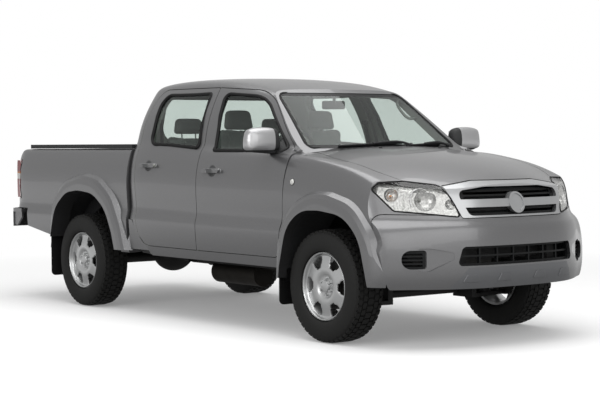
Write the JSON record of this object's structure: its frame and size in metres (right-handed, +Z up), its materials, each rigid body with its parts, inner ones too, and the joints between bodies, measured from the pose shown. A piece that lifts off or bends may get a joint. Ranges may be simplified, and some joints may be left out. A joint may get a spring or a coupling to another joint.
{
  "type": "pickup truck",
  "caption": "Double-cab four-wheel-drive pickup truck with hollow cab, opening doors, bonnet and tailgate, open cargo bed, steered front wheels and a ladder frame.",
  "frame": {"origin": "centre of the bounding box on the ground under the tyres", "axes": "+Z is up; -Y is the front of the vehicle; +X is the vehicle's left side"},
  "size_m": [2.0556, 5.2202, 1.7535],
  "materials": {
    "bed_rail_caps": "black grained plastic",
    "bonnet": "silver metallic paint",
    "bumper_front": "silver metallic paint on plastic",
    "bumper_rear": "silver painted steel",
    "cab_shell": "silver metallic paint",
    "cargo_bed": "silver metallic paint",
    "cowl_panel": "black grained plastic",
    "dashboard": "dark grey soft plastic",
    "door_front_left": "silver metallic paint",
    "door_front_right": "silver metallic paint",
    "door_rear_left": "silver metallic paint",
    "door_rear_right": "silver metallic paint",
    "engine": "cast metal",
    "exhaust": "aluminised steel",
    "fog_inserts": "black grained plastic",
    "front_fenders": "silver metallic paint",
    "front_seats": "grey woven fabric",
    "front_suspension": "black chassis paint",
    "fuel_tank": "black plastic",
    "gearbox": "cast metal",
    "glass_front_left": "tinted glass",
    "glass_front_right": "tinted glass",
    "glass_rear_left": "tinted glass",
    "glass_rear_right": "tinted glass",
    "grille_insert": "black grained plastic",
    "grille_panel": "silver metallic paint",
    "headlamp_housings": "bright reflector",
    "headlamp_lenses": "clear lens",
    "knuckle_left": "black chassis paint",
    "knuckle_right": "black chassis paint",
    "ladder_frame": "black chassis paint",
    "leaf_springs": "black chassis paint",
    "lower_grille": "black grained plastic",
    "mirror_left": "silver metallic paint",
    "mirror_right": "silver metallic paint",
    "mud_flaps": "black grained plastic",
    "propshaft": "black chassis paint",
    "rear_axle": "black chassis paint",
    "rear_seat": "grey woven fabric",
    "rear_window": "tinted glass",
    "rim_front_left": "silver painted alloy",
    "rim_front_right": "silver painted alloy",
    "rim_rear_left": "silver painted alloy",
    "rim_rear_right": "silver painted alloy",
    "skid_panel": "satin silver paint",
    "spare_rim": "silver painted alloy",
    "spare_tyre": "black rubber",
    "steering_wheel": "black leather",
    "tail_lamps": "red lens",
    "tailgate": "silver metallic paint",
    "tailgate_handle": "black grained plastic",
    "tyre_front_left": "black rubber",
    "tyre_front_right": "black rubber",
    "tyre_rear_left": "black rubber",
    "tyre_rear_right": "black rubber",
    "wheelhouse_liners": "black grained plastic",
    "windscreen": "tinted glass"
  },
  "bodies": {
    "chassis": {"bed_rail_caps": "bed_rail_caps", "bumper_front": "bumper_front", "bumper_rear": "bumper_rear", "cab_shell": "cab_shell", "cargo_bed": "cargo_bed", "cowl_panel": "cowl_panel", "dashboard": "dashboard", "engine": "engine", "exhaust": "exhaust", "fog_inserts": "fog_inserts", "front_fenders": "front_fenders", "front_seats": "front_seats", "front_suspension": "front_suspension", "fuel_tank": "fuel_tank", "gearbox": "gearbox", "grille_insert": "grille_insert", "grille_panel": "grille_panel", "headlamp_housings": "headlamp_housings", "headlamp_lenses": "headlamp_lenses", "ladder_frame": "ladder_frame", "leaf_springs": "leaf_springs", "lower_grille": "lower_grille", "mud_flaps": "mud_flaps", "propshaft": "propshaft", "rear_axle": "rear_axle", "rear_seat": "rear_seat", "rear_window": "rear_window", "skid_panel": "skid_panel", "spare_rim": "spare_rim", "spare_tyre": "spare_tyre", "tail_lamps": "tail_lamps", "wheelhouse_liners": "wheelhouse_liners", "windscreen": "windscreen"},
    "bonnet": {"bonnet": "bonnet"},
    "tailgate": {"tailgate": "tailgate", "tailgate_handle": "tailgate_handle"},
    "steering_wheel": {"steering_wheel": "steering_wheel"},
    "door_front_right": {"door_front_right": "door_front_right", "glass_front_right": "glass_front_right", "mirror_right": "mirror_right"},
    "door_rear_right": {"door_rear_right": "door_rear_right", "glass_rear_right": "glass_rear_right"},
    "knuckle_right": {"knuckle_right": "knuckle_right"},
    "wheel_front_right": {"tyre_front_right": "tyre_front_right", "rim_front_right": "rim_front_right"},
    "wheel_rear_right": {"tyre_rear_right": "tyre_rear_right", "rim_rear_right": "rim_rear_right"},
    "door_front_left": {"door_front_left": "door_front_left", "glass_front_left": "glass_front_left", "mirror_left": "mirror_left"},
    "door_rear_left": {"door_rear_left": "door_rear_left", "glass_rear_left": "glass_rear_left"},
    "knuckle_left": {"knuckle_left": "knuckle_left"},
    "wheel_front_left": {"tyre_front_left": "tyre_front_left", "rim_front_left": "rim_front_left"},
    "wheel_rear_left": {"tyre_rear_left": "tyre_rear_left", "rim_rear_left": "rim_rear_left"}
  },
  "joints": [
    {"name": "door_front_right_hinge", "type": "hinge", "parent": "chassis", "child": "door_front_right", "pos_m": [-0.8865, -1.30389, 0.9], "axis": [0, 0, 1], "range_deg": [0, 65]},
    {"name": "door_rear_right_hinge", "type": "hinge", "parent": "chassis", "child": "door_rear_right", "pos_m": [-0.8865, -0.25398, 0.9], "axis": [0, 0, 1], "range_deg": [0, 65]},
    {"name": "steer_right", "type": "hinge", "parent": "chassis", "child": "knuckle_right", "pos_m": [-0.675, -1.672, 0.362], "axis": [0, 0, 1], "range_deg": [-30, 30]},
    {"name": "spin_front_right", "type": "hinge", "parent": "knuckle_right", "child": "wheel_front_right", "pos_m": [-0.75, -1.672, 0.362], "axis": [1, 0, 0], "continuous": true},
    {"name": "spin_rear_right", "type": "hinge", "parent": "chassis", "child": "wheel_rear_right", "pos_m": [-0.75, 1.413, 0.362], "axis": [1, 0, 0], "continuous": true},
    {"name": "door_front_left_hinge", "type": "hinge", "parent": "chassis", "child": "door_front_left", "pos_m": [0.8865, -1.30389, 0.9], "axis": [0, 0, -1], "range_deg": [0, 65]},
    {"name": "door_rear_left_hinge", "type": "hinge", "parent": "chassis", "child": "door_rear_left", "pos_m": [0.8865, -0.25398, 0.9], "axis": [0, 0, -1], "range_deg": [0, 65]},
    {"name": "steer_left", "type": "hinge", "parent": "chassis", "child": "knuckle_left", "pos_m": [0.675, -1.672, 0.362], "axis": [0, 0, 1], "range_deg": [-30, 30]},
    {"name": "spin_front_left", "type": "hinge", "parent": "knuckle_left", "child": "wheel_front_left", "pos_m": [0.75, -1.672, 0.362], "axis": [1, 0, 0], "continuous": true},
    {"name": "spin_rear_left", "type": "hinge", "parent": "chassis", "child": "wheel_rear_left", "pos_m": [0.75, 1.413, 0.362], "axis": [1, 0, 0], "continuous": true},
    {"name": "bonnet_hinge", "type": "hinge", "parent": "chassis", "child": "bonnet", "pos_m": [0, -1.3595, 1.262], "axis": [-1, 0, 0], "range_deg": [0, 50]},
    {"name": "tailgate_hinge", "type": "hinge", "parent": "chassis", "child": "tailgate", "pos_m": [0, 2.45565, 0.8], "axis": [-1, 0, 0], "range_deg": [0, 90]},
    {"name": "steering_wheel_turn", "type": "hinge", "parent": "chassis", "child": "steering_wheel", "pos_m": [-0.38, -0.74553, 1.16625], "axis": [0, 0.9063, 0.4226], "range_deg": [-540, 540]}
  ],
  "couplings": [
    {"joint": "steer_right", "follows": "steering_wheel_turn", "ratio": 0.055556},
    {"joint": "steer_left", "follows": "steering_wheel_turn", "ratio": 0.055556}
  ]
}
